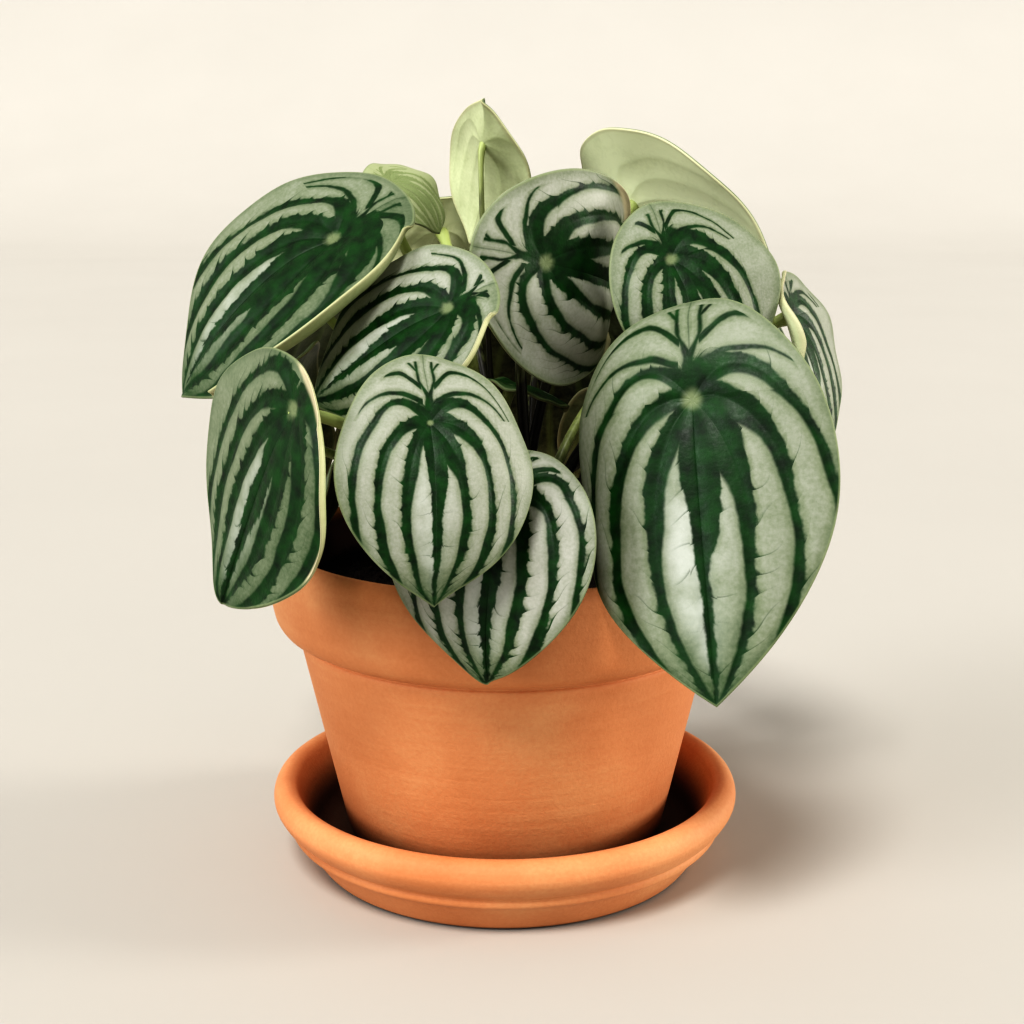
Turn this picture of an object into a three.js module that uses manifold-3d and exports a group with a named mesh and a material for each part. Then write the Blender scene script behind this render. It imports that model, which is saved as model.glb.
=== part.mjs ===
// A watermelon peperomia in a terracotta pot with a saucer.
// Millimetres, +Z up. The origin is on the ground under the middle of the saucer.
// The front of the plant, with its largest leaf, faces -Y.

import * as THREE from 'three';
import { mergeVertices } from 'three/addons/utils/BufferGeometryUtils.js';
import Module from 'manifold-3d';

const wasm = await Module();
wasm.setup();

// ---------------------------------------------------------------- driving dimensions

const fitGap = 0.3; // clearance between pieces that rest on or in each other
const roundSides = 40; // sides of the pot, saucer and soil

const potRimRadius = 65; // a 13 cm (5 in) pot, measured over its rim
const potHeight = 86.7;
const potWall = 5.5;
const potFootRadius = 45;
const potShoulderRadius = 57.4; // body radius just under the groove below the rim
const grooveHeight = 59.5; // above the pot's foot
const drainRadius = 7.5;

const saucerRadius = 66;
const saucerFloor = 6; // height of the floor that the pot stands on
const potFoot = saucerFloor + fitGap;
const potFloor = potFoot + 6;
const potShoulder = potFoot + grooveHeight;
const potRim = potFoot + potHeight;
const potHeel = 4; // the body's straight side starts this far above the foot
const soilTop = 84;

const crownRadius = 4;
const crownRise = 9; // height of a crown above the soil
const plantDepth = 6; // how deep the crowns and leaf stalks stand in the soil
const crowns = {
  left: [-16, -2],
  right: [14, -8],
  back: [4, 18],
};

const stalkRadius = 1.9;
const stalkSides = 5;
const stalkSteps = 6;
const stalkRoom = 0.8; // clear soil round a stalk, and clear space between it and its crown
const stalkRing = crownRadius + fitGap + stalkRadius + stalkRoom; // distance from a crown's axis
const stalkHole = stalkRadius + stalkRoom;
const holeSides = 8;
const bladeThickness = 0.9;
const hubDimple = 1.5; // the blade dips where the stalk joins it
const dimpleReach = 7;
const curlStart = 0.65; // a margin curls up from this share of the blade's half width
const foldGrowth = 1.4; // how much faster a half bends down towards its margin

// Each leaf is given by the place of its hub, where the stalk joins the blade, by the
// compass heading and pitch of its midrib from hub to tip, its roll about the midrib,
// and its length and width. Angles are in degrees. hubAt is the hub's distance from the
// base as a share of the length, lean makes the right half wider than the left, and the
// droops, folds and curls bend the midrib, the two halves and the two margins.
const usualLeaf = {
  tipDroop: 30,
  baseDroop: 20,
  foldLeft: 25,
  foldRight: 25,
  curlLeft: 0,
  curlRight: 0,
  hubAt: 0.28,
  lean: 0,
  crease: 0,
  baseRoundness: 0.47,
  tipPoint: 2.1,
  stalkRise: 0.4,
  stalkArch: 26,
};
const leaves = {
  leaf_front_right: {
    hub: [44, -62, 140], heading: -82, pitch: 68, roll: 25, length: 100, width: 71,
    tipDroop: 7, baseDroop: 37, foldLeft: 24, foldRight: 60, lean: 0.07, crown: 'right',
  },
  leaf_front_left: {
    hub: [-16, -82, 138], heading: -78, pitch: 56, roll: -3, length: 61, width: 47,
    tipDroop: 51, baseDroop: 18, foldLeft: 29, foldRight: 16, hubAt: 0.3, lean: -0.05,
    tipPoint: 2.7, crown: 'left',
  },
  leaf_front_low: {
    hub: [2, -66, 119], heading: -119, pitch: 51, roll: -6, length: 62, width: 56,
    tipDroop: 61, baseDroop: 29, foldLeft: 31, foldRight: 21, hubAt: 0.21, lean: 0.15, crown: 'right',
  },
  leaf_left_high: {
    hub: [-44, -22, 176], heading: -170, pitch: 28, roll: -30, length: 82, width: 70,
    tipDroop: 44, baseDroop: 3, foldLeft: 5, foldRight: 2, curlLeft: 90, hubAt: 0.27, lean: -0.03,
    crown: 'left',
  },
  leaf_left_middle: {
    hub: [-14, -53, 161], heading: 172, pitch: 29, roll: -47, length: 57, width: 49,
    tipDroop: 21, baseDroop: 14, foldLeft: 16, foldRight: 13, curlLeft: 75, hubAt: 0.24, lean: 0.03,
    crown: 'left',
  },
  leaf_left_low: {
    hub: [-48, -80, 140], heading: 141, pitch: 61, roll: -70, length: 67, width: 63,
    tipDroop: 3, baseDroop: 24, foldLeft: 35, foldRight: 0, curlLeft: 60, hubAt: 0.15, lean: 0.11,
    stalkArch: 8, stalkRise: 0.38, crown: 'left',
  },
  leaf_middle_high: {
    hub: [11, -36, 170], heading: 26, pitch: 14, roll: 86, length: 74, width: 55,
    tipDroop: 88, baseDroop: 15, foldLeft: 16, foldRight: 30, curlLeft: 30, curlRight: 30, lean: 0.07,
    crown: 'right',
  },
  leaf_right_high: {
    hub: [42, -32, 171], heading: -49, pitch: 56, roll: 23, length: 56, width: 46,
    tipDroop: 47, baseDroop: 6, foldLeft: 8, foldRight: 25, lean: -0.17, crown: 'right',
  },
  leaf_right_edge: {
    hub: [77, -12, 155], heading: -31, pitch: 69, roll: -2, length: 48, width: 44,
    tipDroop: 9, baseDroop: 2, foldLeft: 0, foldRight: -35, hubAt: 0.25, lean: -0.04, crown: 'right',
  },
  leaf_back_right_high: {
    hub: [37, 25, 183], heading: -32, pitch: 19, roll: -56, length: 74, width: 53,
    tipDroop: 15, baseDroop: -21, foldLeft: 12, foldRight: 13, hubAt: 0.3, lean: 0.09, crown: 'back',
  },
  leaf_back_young: {
    hub: [-5, 30, 200], heading: 88, pitch: 50, roll: 43, length: 50, width: 34,
    tipDroop: 30, baseDroop: 6, foldLeft: 22, foldRight: 12, crease: 22, hubAt: 0.3, lean: -0.1,
    baseRoundness: 0.95, tipPoint: 2, stalkArch: 4, stalkRise: 0.32, crown: 'back',
  },
  leaf_left_young: {
    hub: [-30, 10, 190], heading: -17, pitch: 23, roll: 19, length: 29, width: 28,
    tipDroop: 62, baseDroop: 15, foldLeft: 24, foldRight: 23, hubAt: 0.3, stalkRise: 0.6, crown: 'back',
  },
  leaf_back_left_high: {
    hub: [-20, 62, 174], heading: 110, pitch: 58, roll: 0, length: 50, width: 36, crown: 'back',
  },
  leaf_back_middle: {
    hub: [14, 78, 144], heading: 86, pitch: 56, roll: 5, length: 84, width: 62, tipDroop: 20,
    crown: 'back',
  },
  leaf_back_left: {
    hub: [-57, 41, 155], heading: 143, pitch: 42, roll: -8, length: 78, width: 60, crown: 'left',
  },
  leaf_back_right: {
    hub: [50, 60, 150], heading: 52, pitch: 52, roll: 6, length: 78, width: 58, crown: 'back',
  },
  leaf_left_side: {
    hub: [-62, 24, 132], heading: 172, pitch: 66, roll: 0, length: 52, width: 42, crown: 'left',
  },
  leaf_right_side: {
    hub: [66, 14, 128], heading: 4, pitch: 66, roll: 0, length: 54, width: 44, crown: 'right',
  },
  leaf_back_left_low: {
    hub: [-34, 62, 118], heading: 118, pitch: 66, roll: -6, length: 62, width: 48, crown: 'back',
  },
  leaf_back_right_low: {
    hub: [38, 72, 112], heading: 66, pitch: 66, roll: 6, length: 62, width: 48, crown: 'back',
  },
  leaf_inner_back: {
    hub: [2, 0, 136], heading: 8, pitch: 14, roll: 0, length: 25, width: 20, crown: 'left',
  },
  leaf_left_side_low: {
    hub: [-47, 4, 112], heading: 172, pitch: 60, roll: 0, length: 42, width: 36, crown: 'left',
  },
  leaf_right_back: {
    hub: [72, 26, 156], heading: 8, pitch: 58, roll: 0, length: 58, width: 46, crown: 'right',
  },
  leaf_right_side_low: {
    hub: [59, -9, 108], heading: -5, pitch: 57, roll: 0, length: 48, width: 40, crown: 'right',
  },
  leaf_back_high: {
    hub: [12, 48, 172], heading: 85, pitch: 40, roll: 0, length: 50, width: 36, crown: 'back',
  },
  leaf_back_left_side: {
    hub: [-65, 48, 113], heading: 139, pitch: 70, roll: 0, length: 42, width: 34, crown: 'left',
  },
  leaf_back_right_side: {
    hub: [77, 48, 113], heading: 58, pitch: 74, roll: 0, length: 50, width: 40, crown: 'back',
  },
  leaf_inner_left: {
    hub: [-28, 30, 122], heading: 132, pitch: 26, roll: 0, length: 30, width: 24, crown: 'right',
  },
};

// ---------------------------------------------------------------- solids

function toSolid(geometry) {
  const bare = geometry.index ? geometry.toNonIndexed() : geometry.clone();
  bare.deleteAttribute('normal');
  bare.deleteAttribute('uv');
  const merged = mergeVertices(bare, 1e-4);
  return new wasm.Manifold(new wasm.Mesh({
    numProp: 3,
    vertProperties: new Float32Array(merged.attributes.position.array),
    triVerts: new Uint32Array(merged.index.array),
  }));
}

function toGeometry(solid) {
  const mesh = solid.getMesh();
  const geometry = new THREE.BufferGeometry();
  geometry.setAttribute('position', new THREE.BufferAttribute(mesh.vertProperties, 3));
  geometry.setIndex(new THREE.BufferAttribute(mesh.triVerts, 1));
  geometry.computeVertexNormals();
  return geometry;
}

function turned(profile, sides = roundSides) {
  const geometry = new THREE.LatheGeometry(profile.map(([r, z]) => new THREE.Vector2(r, z)), sides);
  return geometry.rotateX(Math.PI / 2);
}

// Points of a profile, closed on its first point where it doesn't end on the axis.
function closedProfile(points) {
  return [...points, points[0]];
}

// ---------------------------------------------------------------- pot, saucer and soil

// Radius of the pot's inner wall at a height.
function innerRadiusAt(z) {
  const slope = (potShoulderRadius - potFootRadius) / (grooveHeight - potHeel);
  return potFootRadius - potWall + slope * (z - potFoot - potHeel);
}

function potGeometry() {
  return turned(closedProfile([
    [drainRadius, potFoot],
    [potFootRadius - 6, potFoot],
    [potFootRadius - 2, potFoot + 1.2],
    [potFootRadius, potFoot + potHeel],
    [potShoulderRadius, potShoulder],
    [potShoulderRadius - 0.9, potShoulder + 0.6],
    [potShoulderRadius + 0.6, potShoulder + 1.4],
    [potShoulderRadius + 4.2, potShoulder + 3],
    [potRimRadius - 1.3, potShoulder + 6],
    [potRimRadius - 0.2, potShoulder + 11],
    [potRimRadius + 0.2, potShoulder + 16],
    [potRimRadius, potShoulder + 21],
    [potRimRadius - 0.6, potRim - 2.2],
    [potRimRadius - 2.2, potRim - 0.4],
    [potRimRadius - 4, potRim],
    [potRimRadius - 6.4, potRim - 1.4],
    [potRimRadius - 7.4, potRim - 4],
    [innerRadiusAt(potShoulder) + 1.4, potShoulder + 8],
    [innerRadiusAt(potShoulder), potShoulder],
    [innerRadiusAt(potFloor + 4), potFloor + 4],
    [innerRadiusAt(potFloor) - 3, potFloor],
    [drainRadius, potFloor],
  ]));
}

function saucerGeometry() {
  return turned([
    [0, 0],
    [saucerRadius - 14, 0],
    [saucerRadius - 12.5, 0.8],
    [saucerRadius - 7, 8.5],
    [saucerRadius - 6, 9.3],
    [saucerRadius - 4.6, 10],
    [saucerRadius - 4.3, 11.6],
    [saucerRadius - 4.8, 12.4],
    [saucerRadius - 2.2, 14.4],
    [saucerRadius - 0.2, 17.6],
    [saucerRadius, 20],
    [saucerRadius - 1, 22.6],
    [saucerRadius - 3.4, 24],
    [saucerRadius - 6, 23.2],
    [saucerRadius - 7.3, 20.8],
    [saucerRadius - 12.6, 8],
    [saucerRadius - 15, saucerFloor],
    [0, saucerFloor],
  ]);
}

// The soil fills the pot to below its rim. Crowns and stalks stand in plain holes in it.
function soilSolid(standing) {
  const radiusAt = (z) => innerRadiusAt(z) - fitGap - 0.1;
  const bottom = potFloor + fitGap;
  let soil = toSolid(turned([
    [0, bottom],
    [radiusAt(bottom) - 3.4, bottom],
    [radiusAt(bottom + 4), bottom + 4],
    [radiusAt(potShoulder), potShoulder],
    [radiusAt(potShoulder) + 1.2, potShoulder + 8],
    [radiusAt(potShoulder) + 2.2, soilTop - 3],
    [radiusAt(potShoulder) - 1, soilTop - 1.4],
    [radiusAt(potShoulder) - 11.5, soilTop - 0.4],
    [0, soilTop],
  ]));
  const holeBottom = soilTop - plantDepth - fitGap;
  const holeDepth = 2 * plantDepth; // cut well past the surface
  for (const { place, radius } of standing) {
    const hole = new THREE.CylinderGeometry(radius, radius, holeDepth, holeSides);
    hole.rotateX(Math.PI / 2);
    hole.translate(place.x, place.y, holeBottom + holeDepth / 2);
    soil = soil.subtract(toSolid(hole));
  }
  return soil;
}

function crownGeometry(x, y) {
  const foot = soilTop - plantDepth;
  const top = soilTop + crownRise;
  const geometry = turned([
    [0, foot],
    [crownRadius - 0.6, foot],
    [crownRadius, foot + 1],
    [crownRadius, soilTop + 1],
    [crownRadius - 0.7, top - 3],
    [crownRadius - 2, top - 0.8],
    [0, top],
  ], 12);
  return geometry.translate(x, y, 0);
}

// ---------------------------------------------------------------- leaves

const radians = THREE.MathUtils.degToRad;

// How far a curve runs on and rises over a distance, where it turns by angleAt(s).
function along(distance, angleAt) {
  const steps = 14;
  let run = 0;
  let rise = 0;
  for (let step = 0; step < steps; step += 1) {
    const angle = angleAt(distance * (step + 0.5) / steps);
    run += Math.cos(angle) / steps;
    rise += Math.sin(angle) / steps;
  }
  return [run * distance, rise * distance];
}

// Half the blade's width, at a share t of its length from the base.
function halfWidth(leaf, t) {
  const { baseRoundness: p, tipPoint: e } = leaf;
  const widest = (p / (p + e)) ** (1 / e);
  const shape = t ** p * (1 - t ** e) / (widest ** p * e / (p + e));
  return shape * leaf.width / 2;
}

// A point of the blade's middle surface, u mm to the right of the hub and v mm towards the tip.
function bladePoint(leaf, u, v) {
  const half = leaf.width / 2;
  const baseLength = leaf.length * leaf.hubAt;
  const tipLength = leaf.length - baseLength;
  const towardsTip = v > 0;
  const droop = radians(towardsTip ? leaf.tipDroop : -leaf.baseDroop);
  const reach = towardsTip ? tipLength : baseLength;
  const spineAngle = droop * Math.abs(v) / reach;
  const [spineRun, spineDrop] = along(Math.abs(v), (s) => Math.abs(droop) * s / reach);

  const share = THREE.MathUtils.clamp((v + baseLength) / leaf.length, 0, 1);
  const localHalf = Math.max(halfWidth(leaf, share), half / 2);
  const fold = radians(u > 0 ? leaf.foldRight : leaf.foldLeft);
  const curl = radians(u > 0 ? leaf.curlRight : leaf.curlLeft);
  const [side, lift] = along(Math.abs(u), (s) => {
    const margin = THREE.MathUtils.clamp((s / localHalf - curlStart) / (1 - curlStart), 0, 1.3);
    return -fold * (s / half) ** foldGrowth + curl * margin ** 2;
  });
  const rise = lift + Math.tan(radians(leaf.crease)) * (Math.hypot(u, 3) - 3);

  const fromHub = Math.hypot(u, v) / dimpleReach;
  const dimple = hubDimple * Math.exp(-fromHub * fromHub);
  const x = Math.sign(u) * side;
  const y = Math.sign(v) * spineRun + rise * Math.sin(spineAngle);
  const z = -spineDrop + rise * Math.cos(spineAngle) - dimple;
  return new THREE.Vector3()
    .addScaledVector(leaf.right, x)
    .addScaledVector(leaf.forward, y)
    .addScaledVector(leaf.up, z)
    .add(leaf.hub);
}

function bladeNormal(leaf, u, v) {
  const step = 0.2;
  const across = bladePoint(leaf, u + step, v).sub(bladePoint(leaf, u - step, v));
  const onward = bladePoint(leaf, u, v + step).sub(bladePoint(leaf, u, v - step));
  return across.cross(onward).normalize();
}

// The leaf's own axes: forward along the midrib at the hub, right across it, up out of the blade.
function settled(shape) {
  const leaf = { ...usualLeaf, ...shape };
  const heading = radians(leaf.heading);
  const pitch = radians(leaf.pitch);
  const roll = radians(leaf.roll);
  leaf.forward = new THREE.Vector3(
    Math.cos(heading) * Math.cos(pitch),
    Math.sin(heading) * Math.cos(pitch),
    -Math.sin(pitch),
  );
  const level = new THREE.Vector3(
    Math.cos(heading) * Math.sin(pitch),
    Math.sin(heading) * Math.sin(pitch),
    Math.cos(pitch),
  );
  const sideways = new THREE.Vector3().crossVectors(leaf.forward, level);
  leaf.up = level.multiplyScalar(Math.cos(roll)).addScaledVector(sideways, Math.sin(roll));
  leaf.right = new THREE.Vector3().crossVectors(leaf.forward, leaf.up);
  leaf.hub = new THREE.Vector3(...leaf.hub);
  return leaf;
}

// Both faces of a blade use one net of points, so their triangles are alike.
function bladeGeometry(leaf) {
  const curled = leaf.curlLeft > 0 || leaf.curlRight > 0;
  const rings = curled ? [0.22, 0.5, 0.72, 0.87, 1] : [0.22, 0.6, 1];
  const sidePoints = curled ? 11 : 9;
  const baseLength = leaf.length * leaf.hubAt;
  const outline = [];
  for (let i = 0; i < 2 * sidePoints; i += 1) {
    const turn = Math.PI * i / sidePoints;
    const t = (1 + Math.cos(turn)) / 2;
    const onRight = i < sidePoints;
    const widening = onRight ? 1 + leaf.lean : -(1 - leaf.lean);
    outline.push([widening * halfWidth(leaf, t), t * leaf.length - baseLength]);
  }

  const upper = [];
  const lower = [];
  const addPoint = (u, v) => {
    const middle = bladePoint(leaf, u, v);
    const offset = bladeNormal(leaf, u, v).multiplyScalar(bladeThickness / 2);
    upper.push(middle.clone().add(offset));
    lower.push(middle.clone().sub(offset));
  };
  addPoint(0, 0);
  for (const ring of rings) {
    for (const [u, v] of outline) {
      addPoint(ring * u, ring * v);
    }
  }

  const count = outline.length;
  const at = (ring, i) => 1 + ring * count + (i % count);
  const lowerStart = upper.length;
  const triangles = [];
  const addFaces = (a, b, c) => {
    triangles.push(a, c, b);
    triangles.push(lowerStart + a, lowerStart + b, lowerStart + c);
  };
  const rim = rings.length - 1;
  for (let i = 0; i < count; i += 1) {
    addFaces(0, at(0, i), at(0, i + 1));
    for (let ring = 0; ring < rim; ring += 1) {
      addFaces(at(ring, i), at(ring + 1, i), at(ring + 1, i + 1));
      addFaces(at(ring, i), at(ring + 1, i + 1), at(ring, i + 1));
    }
    const [a, b] = [at(rim, i), at(rim, i + 1)];
    triangles.push(a, b, lowerStart + b);
    triangles.push(a, lowerStart + b, lowerStart + a);
  }
  const geometry = new THREE.BufferGeometry();
  const positions = [...upper, ...lower].flatMap((point) => point.toArray());
  geometry.setAttribute('position', new THREE.Float32BufferAttribute(positions, 3));
  geometry.setIndex(triangles);
  return geometry;
}

// The last bend of a stalk lies under the hub, square to the blade.
function stalkArrival(leaf) {
  return leaf.hub.clone().addScaledVector(leaf.up, -hubDimple - leaf.stalkArch);
}

// The stalk rises straight from the soil and meets the underside of the blade squarely.
function stalkGeometry(leaf) {
  const foot = new THREE.Vector3(leaf.foot.x, leaf.foot.y, soilTop - plantDepth);
  const collar = foot.clone().setZ(soilTop + 1);
  const joint = leaf.hub.clone().addScaledVector(leaf.up, -hubDimple);
  const rising = collar.clone().setZ(soilTop + 1 + joint.distanceTo(collar) * leaf.stalkRise);
  const path = new THREE.CurvePath();
  path.add(new THREE.LineCurve3(foot, collar));
  path.add(new THREE.CubicBezierCurve3(collar, rising, stalkArrival(leaf), joint));
  const section = new THREE.Shape();
  for (let i = 0; i < stalkSides; i += 1) {
    const angle = 2 * Math.PI * i / stalkSides;
    const [x, y] = [stalkRadius * Math.cos(angle), stalkRadius * Math.sin(angle)];
    if (i === 0) {
      section.moveTo(x, y);
    } else {
      section.lineTo(x, y);
    }
  }
  return new THREE.ExtrudeGeometry(section, { steps: stalkSteps, extrudePath: path });
}

function leafSolid(leaf) {
  return toSolid(bladeGeometry(leaf)).add(toSolid(stalkGeometry(leaf)));
}

// The stalks stand evenly round their crown, in the order in which they reach their leaves.
function placeStalks(settledLeaves) {
  for (const [name, [x, y]] of Object.entries(crowns)) {
    const bearing = (leaf) => Math.atan2(stalkArrival(leaf).y - y, stalkArrival(leaf).x - x);
    const group = settledLeaves.filter((leaf) => leaf.crown === name);
    group.sort((a, b) => bearing(a) - bearing(b));
    const spacing = 2 * Math.PI / group.length;
    const sines = group.reduce((sum, leaf, i) => sum + Math.sin(bearing(leaf) - i * spacing), 0);
    const cosines = group.reduce((sum, leaf, i) => sum + Math.cos(bearing(leaf) - i * spacing), 0);
    const start = Math.atan2(sines, cosines);
    group.forEach((leaf, i) => {
      const angle = start + i * spacing;
      leaf.foot = new THREE.Vector2(x + stalkRing * Math.cos(angle), y + stalkRing * Math.sin(angle));
    });
  }
}

// ---------------------------------------------------------------- the object

const terracotta = { color: 0xc8744a, roughness: 0.85, metalness: 0 };
const pottingSoil = { color: 0x2f2620, roughness: 1, metalness: 0 };
const stemGreen = { color: 0xa9b27a, roughness: 0.6, metalness: 0 };
const leafGreen = { color: 0x8fa184, roughness: 0.45, metalness: 0 };

const plant = new THREE.Group();

function addPiece(name, geometry, finish) {
  const piece = new THREE.Mesh(geometry, new THREE.MeshStandardMaterial(finish));
  piece.name = name;
  plant.add(piece);
}

const settledLeaves = Object.values(leaves).map(settled);
placeStalks(settledLeaves);
const standing = [
  ...settledLeaves.map((leaf) => ({ place: leaf.foot, radius: stalkHole })),
  ...Object.values(crowns).map(([x, y]) => ({ place: { x, y }, radius: crownRadius + fitGap })),
];

addPiece('saucer', saucerGeometry(), terracotta);
addPiece('pot', potGeometry(), terracotta);
addPiece('soil', toGeometry(soilSolid(standing)), pottingSoil);
for (const [name, [x, y]] of Object.entries(crowns)) {
  addPiece(`crown_${name}`, crownGeometry(x, y), stemGreen);
}
Object.keys(leaves).forEach((name, i) => {
  addPiece(name, toGeometry(leafSolid(settledLeaves[i])), leafGreen);
});

export default plant;
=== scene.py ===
"""A watermelon peperomia in a terracotta pot with a saucer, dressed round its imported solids.

Leaves, stalks, crowns, soil, pot and saucer are made again as fine meshes, from the driving
dimensions of the solids that they stand for. Lengths here are in millimetres and angles in
degrees; meshes are in metres. The front of the plant faces -Y.
"""

from dataclasses import dataclass
from functools import partial
from types import SimpleNamespace

import bmesh
import bpy
import numpy as np
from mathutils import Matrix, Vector


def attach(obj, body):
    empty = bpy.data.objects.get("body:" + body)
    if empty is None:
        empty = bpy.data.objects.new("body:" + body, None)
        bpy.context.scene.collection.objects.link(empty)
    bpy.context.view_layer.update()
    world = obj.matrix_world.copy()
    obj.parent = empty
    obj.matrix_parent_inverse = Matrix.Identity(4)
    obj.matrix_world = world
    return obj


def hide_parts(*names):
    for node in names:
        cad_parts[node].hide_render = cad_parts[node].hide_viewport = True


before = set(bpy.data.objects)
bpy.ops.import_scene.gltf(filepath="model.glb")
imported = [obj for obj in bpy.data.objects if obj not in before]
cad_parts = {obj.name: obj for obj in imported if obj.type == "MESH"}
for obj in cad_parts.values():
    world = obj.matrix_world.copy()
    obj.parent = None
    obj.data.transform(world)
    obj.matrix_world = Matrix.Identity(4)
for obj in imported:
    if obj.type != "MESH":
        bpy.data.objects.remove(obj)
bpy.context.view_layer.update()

MM = 0.001

# ---------------------------------------------------------------- driving dimensions

POT_RIM_RADIUS = 65
POT_HEIGHT = 86.7
POT_WALL = 5.5
POT_FOOT_RADIUS = 45
POT_SHOULDER_RADIUS = 57.4
GROOVE_HEIGHT = 59.5
DRAIN_RADIUS = 7.5
SAUCER_RADIUS = 66
SAUCER_FLOOR = 6
FIT_GAP = 0.3
POT_FOOT = SAUCER_FLOOR + FIT_GAP
POT_FLOOR = POT_FOOT + 6
POT_SHOULDER = POT_FOOT + GROOVE_HEIGHT
POT_RIM = POT_FOOT + POT_HEIGHT
POT_HEEL = 4
SOIL_TOP = 84
TURNED_SIDES = 192  # sides of the pot and saucer
SOIL_SIDES = 96
CROWN_SIDES = 40

CROWN_RADIUS = 4
CROWN_RISE = 9
PLANT_DEPTH = 6
CROWNS = {"left": (-16, -2), "right": (14, -8), "back": (4, 18)}

STALK_RADIUS = 1.9
STALK_FOOT = 1.8  # a stalk's radius at its foot
STALK_RING = CROWN_RADIUS + FIT_GAP + STALK_RADIUS + 0.8
BLADE_THICKNESS = 0.9
HUB_DIMPLE = 1.5
DIMPLE_REACH = 7
CURL_START = 0.65
FOLD_GROWTH = 1.4

# The veins leave the hub at these angles from the midrib and bow round to the tip.
VEIN_ANGLES = (0, 60, 100, 122, 180)
PANELS = len(VEIN_ANGLES) - 1
TIP_SQUEEZE = 0.62  # the blade's length is taken as this much shorter where veins are drawn
BASE_SQUEEZE = 0.4  # and behind the hub as this much shorter
TIP_PULL = 1.25  # how much faster the veins turn at the tip than at the hub


@dataclass
class Leaf:
    """A blade and its stalk. hub is where they join; heading and pitch are those of the midrib
    from hub to tip, and roll turns the blade about it. hub_at is the hub's distance from the base
    as a share of the length, and lean makes the right half wider than the left."""

    name: str
    hub: tuple
    heading: float
    pitch: float
    roll: float
    length: float
    width: float
    crown: str
    tip_droop: float = 30
    base_droop: float = 20
    fold_left: float = 25
    fold_right: float = 25
    curl_left: float = 0
    curl_right: float = 0
    hub_at: float = 0.28
    lean: float = 0
    crease: float = 0
    base_roundness: float = 0.47
    tip_point: float = 2.1
    stalk_rise: float = 0.4
    stalk_arch: float = 26
    silver: float = 0.5  # from 0, the greenest panels, to 1, the most silver
    bands: float = 1.3  # width of the dark bands, against the narrowest
    star: float = 1  # size of the dark star that the bands make round the hub
    quilt: float = 0.5  # how far the panels swell up between the veins
    spot: float = 1  # size of the pale spot over the stalk
    pale: float = 0.15  # from 0, a green underside, to 1, a cream one, brightened at the cream end by painted light shining through the blade
    young: float = 0  # from 0, grown, to 1, yellow green with faint bands
    ribs: float = 1  # how plainly the ribs show on the underside
    stalk_light: float = 0  # added to the share of the stalk's colour that is pale
    stalk_neck: float = 1.45  # radius of the stalk below the blade
    dark_side: float = 0  # how much greener and more widely banded the left half is: partly its own pattern, partly painted shade
    teeth: float = 1  # how far the bands' teeth reach into the panels
    sheen: float = 0.5  # how strongly the silver beside the midrib is painted white: a painted highlight
    turned_edge: tuple = ()  # where the margin turns up and pale: from, to in degrees, and width

    def __post_init__(self):
        heading, pitch, roll = np.radians([self.heading, self.pitch, self.roll])
        self.forward = np.array([
            np.cos(heading) * np.cos(pitch), np.sin(heading) * np.cos(pitch), -np.sin(pitch)])
        level = np.array([
            np.cos(heading) * np.sin(pitch), np.sin(heading) * np.sin(pitch), np.cos(pitch)])
        sideways = np.cross(self.forward, level)
        self.up = level * np.cos(roll) + sideways * np.sin(roll)
        self.right = np.cross(self.forward, self.up)
        self.base_length = self.length * self.hub_at
        self.tip_length = self.length - self.base_length

    def half_width(self, share):
        """Half the blade's width at a share of its length from the base."""
        p, e = self.base_roundness, self.tip_point
        widest = (p / (p + e)) ** (1 / e)
        shape = share ** p * (1 - share ** e) / (widest ** p * e / (p + e))
        return shape * self.width / 2

    def margin(self, count):
        """Points of the outline as u, to the right of the hub, and v, towards the tip."""
        turn = 2 * np.pi * np.arange(count) / count
        share = (1 + np.cos(turn)) / 2
        side = np.where(turn < np.pi, 1 + self.lean, self.lean - 1)
        return side * self.half_width(share), share * self.length - self.base_length

    def surface(self, u, v):
        """Points of the blade's middle surface, as rows."""
        half = self.width / 2
        towards_tip = v > 0
        reach = np.where(towards_tip, self.tip_length, self.base_length)
        droop = np.radians(np.where(towards_tip, self.tip_droop, self.base_droop))
        spine_run, spine_drop = along(np.abs(v), lambda s: droop * s / reach)
        spine_angle = np.sign(v) * droop * np.abs(v) / reach

        share = np.clip((v + self.base_length) / self.length, 0, 1)
        local_half = np.maximum(self.half_width(share), half / 2)
        fold = np.radians(np.where(u > 0, self.fold_right, self.fold_left))
        curl = np.radians(np.where(u > 0, self.curl_right, self.curl_left))

        def across_angle(s):
            near_margin = np.clip((s / local_half - CURL_START) / (1 - CURL_START), 0, 1.3)
            return curl * near_margin ** 2 - fold * (s / half) ** FOLD_GROWTH

        side, lift = along(np.abs(u), across_angle)
        rise = lift + np.tan(np.radians(self.crease)) * (np.hypot(u, 3) - 3)
        dimple = HUB_DIMPLE * np.exp(-(np.hypot(u, v) / DIMPLE_REACH) ** 2)
        x = np.sign(u) * side
        y = np.sign(v) * spine_run + rise * np.sin(spine_angle)
        z = rise * np.cos(spine_angle) - spine_drop - dimple
        return (np.array(self.hub) + x[:, None] * self.right + y[:, None] * self.forward
                + z[:, None] * self.up)

    def normal(self, u, v):
        step = 0.2
        across = self.surface(u + step, v) - self.surface(u - step, v)
        onward = self.surface(u, v + step) - self.surface(u, v - step)
        facing = np.cross(across, onward)
        return facing / np.linalg.norm(facing, axis=1, keepdims=True)

    def arrival(self):
        """Where the stalk's last bend lies, under the hub."""
        return np.array(self.hub) - (HUB_DIMPLE + self.stalk_arch) * self.up


def along(distance, angle_at):
    """How far a curve runs on and rises over a distance, where it turns by angle_at(s)."""
    steps = 14
    angles = [angle_at(distance * (step + 0.5) / steps) for step in range(steps)]
    return np.mean(np.cos(angles), axis=0) * distance, np.mean(np.sin(angles), axis=0) * distance


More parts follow.
